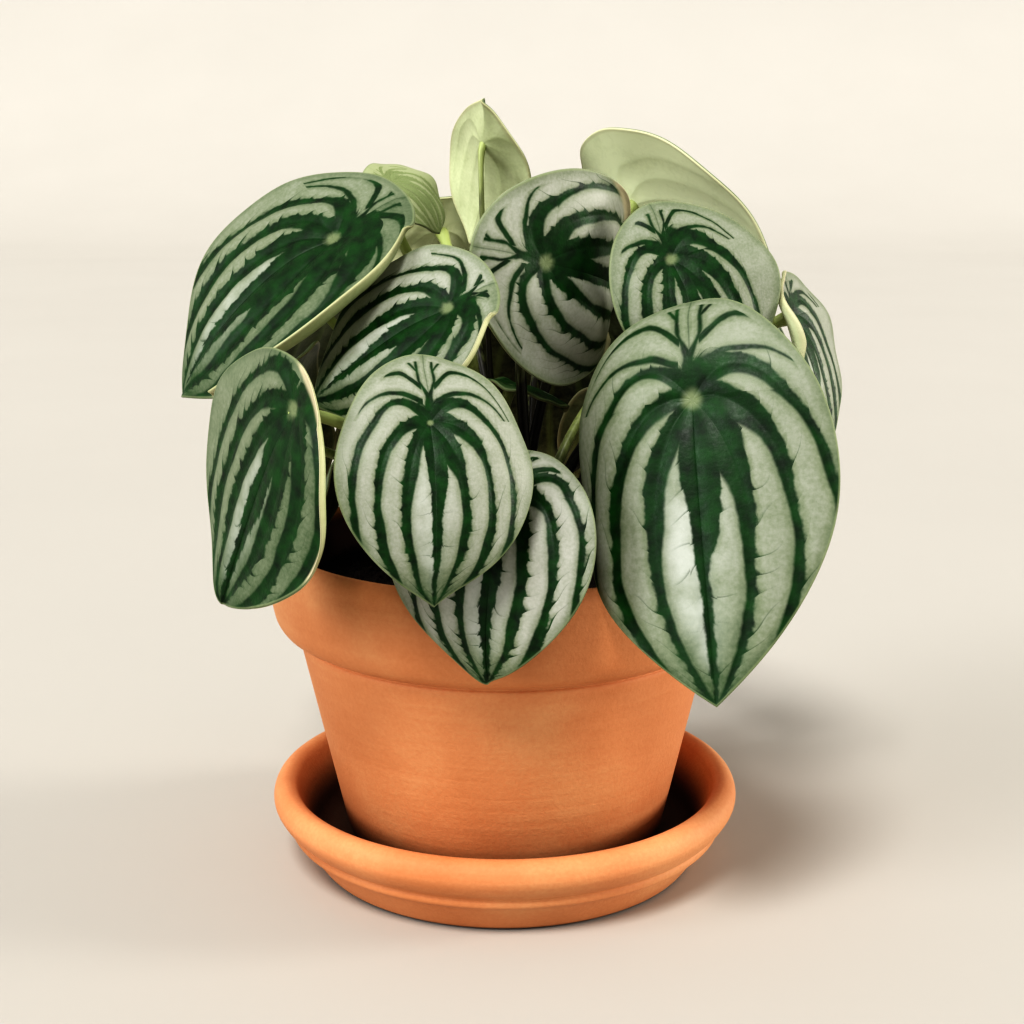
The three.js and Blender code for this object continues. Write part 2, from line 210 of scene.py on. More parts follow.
# Each row gives the name, hub, heading, pitch, roll, length, width and crown, and then what
# isn't usual.
LEAVES = [
    Leaf("leaf_front_right", (44, -62, 140), -82, 68, 25, 100, 71, "right", tip_droop=7,
         base_droop=37, fold_left=24, fold_right=60, lean=0.07, silver=0.6, bands=1.05, star=1.7,
         spot=0.9, quilt=0.7, teeth=0.5, sheen=0.7),
    Leaf("leaf_front_left", (-16, -82, 138), -78, 56, -3, 61, 47, "left", tip_droop=51,
         base_droop=18, fold_left=29, fold_right=16, hub_at=0.3, lean=-0.05, tip_point=2.7,
         silver=0.74, bands=1.2, star=1.4, spot=0.45, teeth=0.5, sheen=0.6),
    Leaf("leaf_front_low", (2, -66, 119), -119, 51, -6, 62, 56, "right", tip_droop=61,
         base_droop=29, fold_left=31, fold_right=21, hub_at=0.21, lean=0.15, silver=0.9, bands=1.3,
         sheen=0.6),
    Leaf("leaf_left_high", (-44, -22, 176), -170, 28, -30, 82, 70, "left", tip_droop=44,
         base_droop=3, fold_left=5, fold_right=2, curl_left=90, hub_at=0.27, lean=-0.03,
         silver=0.5, bands=1.4, star=2, dark_side=0.9, quilt=0.8, pale=0.6, teeth=1.2, sheen=0.4),
    Leaf("leaf_left_middle", (-14, -53, 161), 172, 29, -47, 57, 49, "left", tip_droop=21,
         base_droop=14, fold_left=16, fold_right=13, curl_left=75, hub_at=0.24, lean=0.03,
         silver=0.78, bands=1.3, star=1.6, dark_side=0.6, pale=0.6, sheen=0.5,
         turned_edge=((200, 255, 2.2),)),
    Leaf("leaf_left_low", (-48, -80, 140), 141, 61, -70, 67, 63, "left", tip_droop=3,
         base_droop=24, fold_left=35, fold_right=0, curl_left=60, hub_at=0.15, lean=0.11,
         stalk_arch=8, stalk_rise=0.38, silver=0.42, bands=1.4, star=1.5, dark_side=0.8, pale=0.6,
         teeth=1.2, sheen=0.45, turned_edge=((165, 285, 3),)),
    Leaf("leaf_middle_high", (11, -36, 170), 26, 14, 86, 74, 55, "right", tip_droop=88,
         base_droop=15, fold_left=16, fold_right=30, curl_left=30, curl_right=30, lean=0.07,
         silver=0.82, bands=1.05, star=1.7, dark_side=0.1, pale=0.8, teeth=0.8, sheen=0.2,
         turned_edge=((265, 425, 3.4),)),
    Leaf("leaf_right_high", (42, -32, 171), -49, 56, 23, 56, 46, "right", tip_droop=47,
         base_droop=6, fold_left=8, fold_right=25, lean=-0.17, silver=0.62, bands=1.3, star=2.2,
         teeth=0.7, sheen=0.3),
    Leaf("leaf_right_edge", (77, -12, 155), -31, 69, -2, 48, 44, "right", tip_droop=9,
         base_droop=2, fold_left=0, fold_right=-35, hub_at=0.25, lean=-0.04, silver=0.7, bands=1.9,
         pale=0.8, teeth=0.5, turned_edge=((85, 185, 3.4),)),
    Leaf("leaf_back_right_high", (37, 25, 183), -32, 19, -56, 74, 53, "back", tip_droop=15,
         base_droop=-21, fold_left=12, fold_right=13, hub_at=0.3, lean=0.09, pale=1, ribs=0.2,
         quilt=0.35),
    Leaf("leaf_back_young", (-5, 30, 200), 88, 50, 43, 50, 34, "back", tip_droop=30, base_droop=6,
         fold_left=22, fold_right=12, crease=22, hub_at=0.3, lean=-0.1, base_roundness=0.95,
         tip_point=2, stalk_arch=4, stalk_rise=0.32, pale=0.74, ribs=0.25, quilt=0.4,
         stalk_light=-0.18, stalk_neck=0.75),
    Leaf("leaf_left_young", (-30, 10, 190), -17, 23, 19, 29, 28, "back", tip_droop=62,
         base_droop=15, fold_left=24, fold_right=23, hub_at=0.3, stalk_rise=0.6, silver=0.9,
         bands=2.4, star=1.5, pale=0.7, young=0.95, quilt=0.8),
    Leaf("leaf_back_left_high", (-20, 62, 174), 110, 58, 0, 50, 36, "back", pale=1, ribs=0.2,
         quilt=0.6),
    Leaf("leaf_back_middle", (14, 78, 144), 86, 56, 5, 84, 62, "back", tip_droop=20, pale=0.05),
    Leaf("leaf_back_left", (-57, 41, 155), 143, 42, -8, 78, 60, "left"),
    Leaf("leaf_back_right", (50, 60, 150), 52, 52, 6, 78, 58, "back", stalk_light=0.35),
    Leaf("leaf_left_side", (-62, 24, 132), 172, 66, 0, 52, 42, "left"),
    Leaf("leaf_right_side", (66, 14, 128), 4, 66, 0, 54, 44, "right"),
    Leaf("leaf_back_left_low", (-34, 62, 118), 118, 66, -6, 62, 48, "back"),
    Leaf("leaf_back_right_low", (38, 72, 112), 66, 66, 6, 62, 48, "back"),
    # the inner leaves have no silver, wide bands and a green underside: painted shade deep in the
    # plant
    Leaf("leaf_inner_back", (2, 0, 136), 8, 14, 0, 25, 20, "left", silver=0, bands=2.4, star=3,
         pale=0),
    Leaf("leaf_left_side_low", (-47, 4, 112), 172, 60, 0, 42, 36, "left"),
    Leaf("leaf_right_back", (72, 26, 156), 8, 58, 0, 58, 46, "right"),
    Leaf("leaf_right_side_low", (59, -9, 108), -5, 57, 0, 48, 40, "right"),
    Leaf("leaf_back_high", (12, 48, 172), 85, 40, 0, 50, 36, "back"),
    Leaf("leaf_back_left_side", (-65, 48, 113), 139, 70, 0, 42, 34, "left"),
    Leaf("leaf_back_right_side", (77, 48, 113), 58, 74, 0, 50, 40, "back"),
    # painted shade here too: no silver, wide bands, a green underside
    Leaf("leaf_inner_left", (-28, 30, 122), 132, 26, 0, 30, 24, "right", silver=0, bands=2.4,
         star=3, pale=0),
]

# ---------------------------------------------------------------- meshes


def linear(code, alpha=1.0):
    """A colour's sRGB hex code as linear red, green, blue and alpha."""
    shares = [int(code[i:i + 2], 16) / 255 for i in (1, 3, 5)]
    return (*(c / 12.92 if c <= 0.04045 else ((c + 0.055) / 1.055) ** 2.4 for c in shares), alpha)


def new_piece(name, mesh, materials):
    piece = bpy.data.objects.new(name, mesh)
    bpy.context.scene.collection.objects.link(piece)
    for material in materials:
        mesh.materials.append(material)
    return piece


def finished(piece, node):
    """Hands a piece to the frame: it rides on the only body and stands for its node."""
    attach(piece, "root")
    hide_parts(node)


def rounded(profile, closed=False, cut=0.8, steps=4):
    """A profile with each corner eased by a short curve that starts cut mm before it."""
    points = np.array([profile[-1], *profile, profile[0]] if closed else profile, float)
    eased = []
    for before, corner, after in zip(points, points[1:], points[2:]):
        start, end = (corner + (other - corner) * min(cut / np.linalg.norm(other - corner), 0.45)
                      for other in (before, after))
        for t in np.linspace(0, 1, steps):
            eased.append((1 - t) ** 2 * start + 2 * t * (1 - t) * corner + t ** 2 * end)
    return eased if closed else [points[0], *eased, points[-1]]


def turned(name, profile, closed, sides=TURNED_SIDES):
    """A mesh turned about the Z axis from a profile of radius and height, read upwards outside."""
    shape = bmesh.new()
    rows = []
    for radius, height in profile:
        if radius < 1e-6:
            rows.append([shape.verts.new((0, 0, height * MM))] * sides)
            continue
        turn = 2 * np.pi * np.arange(sides) / sides
        ring = np.column_stack([radius * np.cos(turn), radius * np.sin(turn),
                                np.full(sides, height)]) * MM
        rows.append([shape.verts.new(point) for point in ring])
    pairs = list(zip(rows, rows[1:])) + ([(rows[-1], rows[0])] if closed else [])
    for low, high in pairs:
        for i in range(sides):
            j = (i + 1) % sides
            corners = list(dict.fromkeys((low[i], low[j], high[j], high[i])))
            shape.faces.new(corners)
    bmesh.ops.recalc_face_normals(shape, faces=shape.faces)
    mesh = bpy.data.meshes.new(name)
    shape.to_mesh(mesh)
    shape.free()
    mesh.shade_smooth()
    return mesh


# ---------------------------------------------------------------- pot, saucer, soil and crowns


def inner_radius(height):
    """Radius of the pot's inner wall at a height."""
    slope = (POT_SHOULDER_RADIUS - POT_FOOT_RADIUS) / (GROOVE_HEIGHT - POT_HEEL)
    return POT_FOOT_RADIUS - POT_WALL + slope * (height - POT_FOOT - POT_HEEL)


def pot_profile():
    return rounded([
        (DRAIN_RADIUS, POT_FLOOR),
        (DRAIN_RADIUS, POT_FOOT),
        (POT_FOOT_RADIUS - 6, POT_FOOT),
        (POT_FOOT_RADIUS - 2, POT_FOOT + 1.2),
        (POT_FOOT_RADIUS, POT_FOOT + POT_HEEL),
        (POT_SHOULDER_RADIUS, POT_SHOULDER),
        (POT_SHOULDER_RADIUS - 0.9, POT_SHOULDER + 0.6),
        (POT_SHOULDER_RADIUS + 0.6, POT_SHOULDER + 1.4),
        (POT_SHOULDER_RADIUS + 4.2, POT_SHOULDER + 3),
        (POT_RIM_RADIUS - 1.3, POT_SHOULDER + 6),
        (POT_RIM_RADIUS - 0.2, POT_SHOULDER + 11),
        (POT_RIM_RADIUS + 0.2, POT_SHOULDER + 16),
        (POT_RIM_RADIUS, POT_SHOULDER + 21),
        (POT_RIM_RADIUS - 0.6, POT_RIM - 2.2),
        (POT_RIM_RADIUS - 2.2, POT_RIM - 0.4),
        (POT_RIM_RADIUS - 4, POT_RIM),
        (POT_RIM_RADIUS - 6.4, POT_RIM - 1.4),
        (POT_RIM_RADIUS - 7.4, POT_RIM - 4),
        (inner_radius(POT_SHOULDER) + 1.4, POT_SHOULDER + 8),
        (inner_radius(POT_SHOULDER), POT_SHOULDER),
        (inner_radius(POT_FLOOR + 4), POT_FLOOR + 4),
        (inner_radius(POT_FLOOR) - 3, POT_FLOOR),
    ], closed=True, cut=1.6)


def saucer_profile():
    offsets = [
        (-14, 0), (-12.5, 0.8), (-7, 8.5), (-6, 9.3), (-4.6, 10), (-4.3, 11.6), (-4.8, 12.4),
        (-2.2, 14.4), (-0.2, 17.6), (0, 20), (-1, 22.6), (-3.4, 24), (-6, 23.2), (-7.3, 20.8),
        (-12.6, 8), (-15, SAUCER_FLOOR),
    ]
    outline = [(SAUCER_RADIUS + inwards, height) for inwards, height in offsets]
    return rounded([(0, 0), *outline, (0, SAUCER_FLOOR)], cut=1.3)


def soil_profile():
    def radius(height):
        return inner_radius(height) - FIT_GAP - 0.1

    bottom = POT_FLOOR + FIT_GAP
    return rounded([
        (0, bottom),
        (radius(bottom) - 3.4, bottom),
        (radius(bottom + 4), bottom + 4),
        (radius(POT_SHOULDER), POT_SHOULDER),
        (radius(POT_SHOULDER) + 1.2, POT_SHOULDER + 8),
        (radius(POT_SHOULDER) + 2.2, SOIL_TOP - 3.6),
        (radius(POT_SHOULDER) - 1, SOIL_TOP - 2.6),
        (radius(POT_SHOULDER) - 11.5, SOIL_TOP - 1.4),
        (0, SOIL_TOP - 1),
    ])


def crown_profile():
    foot, top = SOIL_TOP - PLANT_DEPTH, SOIL_TOP + CROWN_RISE
    rings = [(CROWN_RADIUS + swell, foot + 1 + 2.2 * i)
             for i, swell in enumerate((-0.3, 0, -0.5, -0.1, -0.6, -0.4))]
    return rounded([(0, foot), (CROWN_RADIUS - 0.6, foot), *rings, (CROWN_RADIUS - 2, top - 0.8),
                    (0, top)])


# ---------------------------------------------------------------- leaves

RIM_WIDTH = 0.85  # the pale line round a blade
LIP_SLOPE = 0.7  # height of a turned-up margin for each mm of its width
ROUND_EDGE = 0.42  # how far in from the margin a blade reaches its full thickness
EDGE_RINGS = (0.9, 0.6, 0.38, 0.2, 0.08, 0)  # the rings of the round margin, this far in
NET_END = 1.3  # the blade's even rings end this far in
FULL_PANEL = 8  # width of a panel that swells in full
FLAT_MARGIN = 3  # width of the margin in which the panels flatten out
# what a leaf hands to its materials, as attributes of its mesh
HABITS = ("silver", "bands", "star", "spot", "pale", "young", "ribs", "teeth", "sheen", "dark_side")


def among_veins(leaf, u, v):
    """Where points of a blade lie among its veins: the panel, counted from the midrib, the share
    of the way across it, and the panel's width there."""
    u, far = np.abs(u), leaf.tip_length * TIP_SQUEEZE
    squeeze = np.where(v > 0, TIP_SQUEEZE, BASE_SQUEEZE)
    y = v * squeeze
    angle = np.degrees(np.arctan2(u, y) + TIP_PULL * np.arctan2(u, far - y))
    place = np.interp(angle, VEIN_ANGLES, range(PANELS + 1))
    panel = np.minimum(np.floor(place), PANELS - 1).astype(int)
    gap = np.radians(np.diff(VEIN_ANGLES))[panel]
    by_hub, by_tip = u ** 2 + y ** 2 + 1e-9, u ** 2 + (far - y) ** 2 + 1e-9
    turn_across = y / by_hub + TIP_PULL * (far - y) / by_tip
    turn_along = (TIP_PULL * u / by_tip - u / by_hub) * squeeze
    return panel, place - panel, gap / np.hypot(turn_across, turn_along)


def relief(leaf, u, v, inset):
    """How far the blade's panels swell up between its veins."""
    panel, share, width = among_veins(leaf, u, v)
    across = np.where(panel == PANELS - 1, share / 2, share)
    swelling = np.sin(np.pi * across) ** 0.7 * np.minimum(width / FULL_PANEL, 1)
    return leaf.quilt * (swelling - 0.3) * np.clip(inset / FLAT_MARGIN, 0, 1)


def lip_widths(leaf, turn):
    """How wide the margin's pale line is at angles round the hub, with the lips that turn up."""
    widths = np.full(turn.shape, RIM_WIDTH)
    for start, end, width in leaf.turned_edge:
        middle, half = np.radians(start + end) / 2, np.radians(end - start) / 2
        off = np.abs(np.angle(np.exp(1j * (turn - middle)))) / half
        fade = np.clip((1 - off) * 3, 0, 1)
        widths += (width - RIM_WIDTH) * fade * fade * (3 - 2 * fade)
    return widths


def blade_mesh(leaf, around, rings):
    """A closed blade: both faces share one net of rings round the hub, with a round margin."""
    u_margin, v_margin = leaf.margin(around)
    reach = np.hypot(u_margin, v_margin)
    shares = [ring / rings * (1 - NET_END / reach) for ring in range(1, rings + 1)]
    shares += [1 - inset / reach for inset in EDGE_RINGS]
    shares = np.array(shares)
    u = np.append(0, shares * u_margin)
    v = np.append(0, shares * v_margin)
    inset = np.append(reach.max(), (1 - shares) * reach)

    edge = np.clip(inset / ROUND_EDGE, 0, 1)
    half_thickness = BLADE_THICKNESS / 2 * np.sqrt(1 - (1 - edge) ** 2)
    turn = np.append(0, np.broadcast_to(2 * np.pi * np.arange(around) / around, shares.shape))
    near_margin = np.append(0, shares) ** 3
    seed = sum(map(ord, leaf.name))
    waves = 0.5 * np.sin(5 * turn + seed) + 0.35 * np.sin(8 * turn + 2 * seed)
    # where the margin turns up it stands on the blade as a pale lip
    lip_width = lip_widths(leaf, turn)
    lip = np.clip(1 - inset / lip_width, 0, 1) ** 2 * (lip_width - RIM_WIDTH) * LIP_SLOPE
    facing = leaf.normal(u, v)
    lift = relief(leaf, u, v, inset) + near_margin * waves + lip
    middle = leaf.surface(u, v) + facing * lift[:, None]
    upper = middle + facing * half_thickness[:, None]
    lower = middle - facing * half_thickness[:, None]

    count = len(shares)
    first_lower = len(upper)

    def at(ring, i, under=False):
        index = 1 + ring * around + i % around
        return index + first_lower if under and ring < count - 1 else index

    faces = []
    for under in (False, True):
        centre = first_lower if under else 0
        for i in range(around):
            fan = (centre, at(0, i + 1, under), at(0, i, under))
            faces.append(fan[::-1] if under else fan)
        for ring in range(count - 1):
            for i in range(around):
                quad = (at(ring, i, under), at(ring, i + 1, under),
                        at(ring + 1, i + 1, under), at(ring + 1, i, under))
                faces.append(quad[::-1] if under else quad)
    points = np.vstack([upper, lower[:first_lower - around]]) * MM
    mesh = bpy.data.meshes.new(leaf.name)
    mesh.from_pydata(points.tolist(), [], faces)

    half_faces = len(faces) // 2
    mesh.polygons.foreach_set("material_index", np.repeat([0, 1], half_faces))
    mesh.shade_smooth()
    rim = inset / lip_width
    u, v, inset, rim = (np.append(x, x[:first_lower - around]) for x in (u, v, inset, rim))
    corners = np.zeros(len(mesh.loops), int)
    mesh.loops.foreach_get("vertex_index", corners)
    place = np.column_stack([u, v])[corners] / leaf.tip_length
    mesh.uv_layers.new(name="blade").data.foreach_set("uv", place.ravel())
    habit = {"margin": inset, "rim": rim, "seed": seed % 37, "along": 0}
    habit |= {name: getattr(leaf, name) for name in HABITS}
    for name, value in habit.items():
        values = np.broadcast_to(np.asarray(value, np.float32), len(points))
        mesh.attributes.new(name, "FLOAT", "POINT").data.foreach_set("value", values)
    return mesh


def place_stalks():
    """Feet of the stalks: evenly round each crown, in the order of the leaves round it."""
    feet = {}
    for crown, centre in CROWNS.items():
        def bearing(leaf):
            x, y = leaf.arrival()[:2] - centre
            return np.arctan2(y, x)

        group = sorted((leaf for leaf in LEAVES if leaf.crown == crown), key=bearing)
        spacing = 2 * np.pi / len(group)
        turns = [bearing(leaf) - i * spacing for i, leaf in enumerate(group)]
        start = np.arctan2(np.sum(np.sin(turns)), np.sum(np.cos(turns)))
        for i, leaf in enumerate(group):
            angle = start + i * spacing
            outwards = np.array([np.cos(angle), np.sin(angle)])
            feet[leaf.name] = np.array(centre) + STALK_RING * outwards
    return feet


def stalk_path(leaf, foot):
    """The middle line of a stalk, as a Bezier curve: straight out of the soil, then over in an
    arch that meets the underside of the blade squarely."""
    low = np.array([*foot, SOIL_TOP - PLANT_DEPTH])
    collar = np.array([*foot, SOIL_TOP + 1])
    joint = np.array(leaf.hub) - HUB_DIMPLE * leaf.up
    rising = collar + np.array([0, 0, np.linalg.norm(joint - collar) * leaf.stalk_rise])
    curve = bpy.data.curves.new(leaf.name + "_stalk", "CURVE")
    curve.dimensions = "3D"
    curve.resolution_u = 24
    spline = curve.splines.new("BEZIER")
    spline.bezier_points.add(2)
    handles = [(low, low, collar), (low, collar, rising), (leaf.arrival(), joint, joint)]
    for point, places in zip(spline.bezier_points, handles):
        point.handle_left_type = point.handle_right_type = "FREE"
        point.handle_left, point.co, point.handle_right = (Vector(p * MM) for p in places)
    return curve


# ---------------------------------------------------------------- nodes

SMOOTH = {"interpolation_type": "SMOOTHSTEP"}  # for a MapRange that eases in and out


def first_output(source):
    if isinstance(source, bpy.types.Node):
        return next(output for output in source.outputs if output.enabled)
    return source


def add_node(tree, kind, inputs=(), stops=(), **settings):
    """Adds a node to a tree. inputs are values, nodes or sockets, by place or by name: for
    MapRange the value, from min, from max, to min and to max. A kind in capitals is the operation
    of a Math node. stops are the places and colours of a colour ramp, as hex codes or greys."""
    if kind.isupper():
        kind, settings["operation"] = "Math", kind
    prefixes = ("GeometryNode", "FunctionNode", "ShaderNode")
    if tree.bl_idname == "ShaderNodeTree":
        prefixes = ("ShaderNode",)
    names = [prefix + kind for prefix in prefixes] + [kind]
    node = tree.nodes.new(next(name for name in names if hasattr(bpy.types, name)))
    for key, value in settings.items():
        setattr(node, key, value)
    for index, (place, tone) in enumerate(stops):
        elements = node.color_ramp.elements
        stop = elements[index] if index < 2 else elements.new(place)
        stop.position = place
        stop.color = linear(tone) if isinstance(tone, str) else (tone, tone, tone, 1)
    for key, value in inputs.items() if isinstance(inputs, dict) else enumerate(inputs):
        if isinstance(value, (bpy.types.Node, bpy.types.NodeSocket)):
            tree.links.new(first_output(value), node.inputs[key])
        else:
            node.inputs[key].default_value = value
    return node


def shape_tree(name, inputs):
    """An empty Geometry Nodes tree with named inputs; gives the tree, the function that adds nodes
    to it, and its input node."""
    tree = bpy.data.node_groups.new(name, "GeometryNodeTree")
    tree.interface.new_socket("Geometry", in_out="INPUT", socket_type="NodeSocketGeometry")
    tree.interface.new_socket("Geometry", in_out="OUTPUT", socket_type="NodeSocketGeometry")
    for label, kind in inputs.items():
        tree.interface.new_socket(label, in_out="INPUT", socket_type="NodeSocket" + kind)
    add = partial(add_node, tree)
    return tree, add, add("NodeGroupInput")


def grown(name, data, tree, values):
    """Runs a Geometry Nodes tree on a curve or mesh and gives the plain mesh that it makes."""
    carrier = bpy.data.objects.new(name, data)
    bpy.context.scene.collection.objects.link(carrier)
    modifier = carrier.modifiers.new("grown", "NODES")
    modifier.node_group = tree
    for socket in tree.interface.items_tree:
        if socket.in_out == "INPUT" and socket.name in values:
            modifier[socket.identifier] = values[socket.name]
    graph = bpy.context.evaluated_depsgraph_get()
    mesh = bpy.data.meshes.new_from_object(carrier.evaluated_get(graph), depsgraph=graph)
    bpy.data.objects.remove(carrier)
    return mesh


def stalk_tree(material):
    """A round stalk along a curve, thickest at its foot, that flares where it meets the blade."""
    tree, add, given = shape_tree("stalk", {
        "Foot radius": "Float", "Neck radius": "Float", "Light": "Float"})
    fine = add("ResampleCurve", {"Curve": given.outputs["Geometry"], "Count": 56})
    way = add("SplineParameter").outputs["Factor"]
    ends = given.outputs["Foot radius"], given.outputs["Neck radius"]
    taper = add("MapRange", [way, 0, 0.5, *ends])
    flare = add("MapRange", [way, 0.94, 1, 1, 1.5], **SMOOTH)
    radius = add("MULTIPLY", [taper, flare])
    tone = add("ADD", [way, given.outputs["Light"]])
    marked = add("StoreNamedAttribute", {"Geometry": fine, "Name": "along", "Value": tone},
                 data_type="FLOAT", domain="POINT")
    section = add("CurvePrimitiveCircle", {"Resolution": 14, "Radius": 1})
    tube = add("CurveToMesh", {
        "Curve": marked, "Profile Curve": section, "Scale": radius, "Fill Caps": True})
    smooth = add("SetShadeSmooth", {"Geometry": tube})
    real = add("RealizeInstances", {"Geometry": smooth})
    done = add("SetMaterial", {"Geometry": real, "Material": material})
    add("NodeGroupOutput", [done])
    return tree


# radius of the grains in mm, how many lie on a square centimetre, and their random seed
GRAINS = {"Coarse size": (1.7, 9, 3), "Fine size": (0.9, 33, 8)}


def potting_mix_tree(material):
    """Loose grains of bark, peat and grit over the soil, in two sizes."""
    tree, add, given = shape_tree("potting_mix", dict.fromkeys(GRAINS, "Float"))
    ground = given.outputs["Geometry"]
    upwards = add("SeparateXYZ", [add("InputNormal")]).outputs["Z"]
    top = add("GREATER_THAN", [upwards, 0.5])
    kinds = []
    for label, (_, density, seed) in GRAINS.items():
        points = add("DistributePointsOnFaces", {
            "Mesh": ground, "Selection": top, "Density": density / (10 * MM) ** 2, "Seed": seed})
        grain = add("MeshIcoSphere", {"Radius": given.outputs[label], "Subdivisions": 1})
        turn = add("RandomValue", {"Min": (0, 0, 0), "Max": (6.3, 6.3, 6.3), "Seed": seed},
                   data_type="FLOAT_VECTOR")
        size = add("RandomValue", {"Min": (0.45, 0.3, 0.25), "Max": (1.5, 1.0, 0.6),
                                   "Seed": seed + 1}, data_type="FLOAT_VECTOR")
        kinds.append(add("InstanceOnPoints", {
            "Points": points, "Instance": grain, "Rotation": turn, "Scale": size}))
    together = add("JoinGeometry")
    for kind in [ground, *kinds]:
        tree.links.new(first_output(kind), together.inputs[0])
    real = add("RealizeInstances", {"Geometry": together})
    done = add("SetMaterial", {"Geometry": real, "Material": material})
    add("NodeGroupOutput", [done])
    return tree


# ---------------------------------------------------------------- materials

MIX_A, MIX_B = 6, 7  # the colour sockets of a Mix node

# Sizes of the patterns' features, in mm. Noise on Object coordinates has a scale of METRE / size.
METRE = 1000
SAND = 1.111
TURNING_MARKS = 2.381
CLAY_CLOUDS = 35.7
STALK_STREAKS = 1.111
BARK = 2.632
PEAT = 0.7143
PAPER_CLOUDS = 333.3
# Noise on a blade has a scale of RUN / size: blades are drawn with the way from hub to tip as 1,
# and RUN is that way on the largest one.
RUN = 72
VEIN_BENDS = 18
UNDERSIDE_GRAIN = 1.8
UNDERSIDE_CLOUDS = 14.4
# the upper face's patterns: size, detail and roughness of each
UPPER_PATTERNS = {
    "band_notches": (2.7692, 3, 0.5), "tooth_spacing": (10.286, 0, 0.5),
    "band_swells": (27.69, 1, 0.5), "band_clouds": (5.143, 3, 0.5), "mottling": (1.2, 4, 0.6),
    "patches": (8, 2, 0.5), "bubbles": (0.96, 2, 0.5)}

# Sizes on a blade as shares of the way from hub to tip.
VEIN_BEND = 0.04
BAND_HALF = 0.019  # half the width of a plain band
BAND_BLUR = 0.006
BAND_SHARES = (1, 1.1, 0.95, 0.7, 0)  # width of each vein's band, from the midrib to the base
STAR_REACH, STAR_SWELL = 0.24, 0.018
MIDRIB_SWELL = 0.022
TEETH = 11.5  # teeth along a vein
TOOTH_LEAN = 0.9
TOOTH_LENGTHS = (0.004, 0.042)
# The thin veins that arch out at the base: where each starts, how far it dips, where it turns up.
BASE_ARCHES = ((-0.11, 0.05, 0.2), (-0.19, 0.1, 0.15))


def new_material(name):
    """A material with an empty tree, and the function that adds nodes to it."""
    material = bpy.data.materials.new(name)
    material.use_nodes = True
    material.node_tree.nodes.clear()
    return material, partial(add_node, material.node_tree)


def shade(add, inputs):
    """Ends a material in one Principled shader."""
    shader = add("BsdfPrincipled", inputs)
    add("OutputMaterial", [shader])


def blade_habit(add, name):
    return add("Attribute", attribute_name=name, attribute_type="GEOMETRY").outputs["Fac"]


def shifted(add, tone, noises):
    """A tone moved up and down by noises, each with its weight."""
    for noise, weight in noises:
        shift = add("MULTIPLY", [add("ADD", [noise, -0.5]), weight])
        tone = add("ADD", [tone, shift])
    return tone


def vein_nodes(add):
    """Nodes that find where a point of the blade lies among its veins, as among_veins does, with
    lengths as shares of the way from hub to tip. The veins are bent a little by noise."""
    place = add("UVMap", uv_map="blade")
    seed = blade_habit(add, "seed")
    there = add("SeparateXYZ", [place])
    point = add("CombineXYZ", [there.outputs["X"], there.outputs["Y"], seed])
    bend = add("TexNoise", {"Vector": point, "Scale": RUN / VEIN_BENDS, "Detail": 1})
    bend = add("VectorMath", [bend.outputs["Color"], (0.5, 0.5, 0.5)], operation="SUBTRACT")
    bend = add("VectorMath", {0: bend, "Scale": VEIN_BEND}, operation="SCALE")
    bent = add("SeparateXYZ", [add("VectorMath", [place, bend], operation="ADD")])
    u = add("ABSOLUTE", [bent.outputs["X"]])
    side = add("SIGN", [bent.outputs["X"]])
    ahead, behind = (add("MULTIPLY", [bent.outputs["Y"], squeeze])
                     for squeeze in (TIP_SQUEEZE, BASE_SQUEEZE))
    y = add("MAXIMUM", [ahead, behind])
    rest = add("SUBTRACT", [TIP_SQUEEZE, y])
    to_hub = add("VectorMath", [add("CombineXYZ", [u, y])], operation="LENGTH")
    to_tip = add("VectorMath", [add("CombineXYZ", [u, rest])], operation="LENGTH")
    angle = add("MULTIPLY_ADD", [add("ARCTAN2", [u, rest]), TIP_PULL, add("ARCTAN2", [u, y])])

    half_turn = add("DIVIDE", [angle, np.pi])
    order = add("FloatCurve", {"Value": half_turn})
    curve = order.mapping.curves[0]
    for index, vein in enumerate(VEIN_ANGLES[1:-1], start=1):
        curve.points.new(vein / 180, index / PANELS)
    for point_on_curve in curve.points:
        point_on_curve.handle_type = "VECTOR"
    order.mapping.update()
    index = add("MULTIPLY", [order, PANELS])
    panel = add("FLOOR", [index])
    share = add("FRACT", [index])
    gaps = enumerate(np.radians(np.diff(VEIN_ANGLES)))
    gaps = add("ValToRGB", [order], stops=[(i / PANELS, gap) for i, gap in gaps])
    gaps.color_ramp.interpolation = "CONSTANT"
    turns = []
    for to_end, onward in ((to_hub, y), (to_tip, rest)):
        squared = add("POWER", [to_end, 2])
        turns.append([add("DIVIDE", [length, squared]) for length in (onward, u)])
    across = add("MULTIPLY_ADD", [turns[1][0], TIP_PULL, turns[0][0]])
    lengthwise = add("MULTIPLY", [turns[0][1], -1])
    lengthwise = add("MULTIPLY_ADD", [turns[1][1], TIP_PULL, lengthwise])
    ahead = add("GREATER_THAN", [bent.outputs["Y"], 0])
    squeeze = add("MULTIPLY_ADD", [ahead, TIP_SQUEEZE - BASE_SQUEEZE, BASE_SQUEEZE])
    lengthwise = add("MULTIPLY", [lengthwise, squeeze])
    steepness = add("VectorMath", [add("CombineXYZ", [across, lengthwise])],
                    operation="LENGTH").outputs["Value"]
    width = add("DIVIDE", [gaps.outputs["Color"], steepness])
    inner = add("MULTIPLY", [width, share])
    outer = add("SUBTRACT", [width, inner])
    onward = add("DIVIDE", [to_hub, add("ADD", [to_hub, to_tip])])
    bow = add("DIVIDE", [angle, add("MAXIMUM", [add("SINE", [angle]), 0.3])])
    bow = add("MAXIMUM", [bow, 1])
    way = add("MULTIPLY", [onward, bow])
    return SimpleNamespace(
        point=point, seed=seed, u=u, v=bent.outputs["Y"], side=side, to_hub=to_hub, to_tip=to_tip,
        panel=panel, inner=inner, outer=outer, way=way)


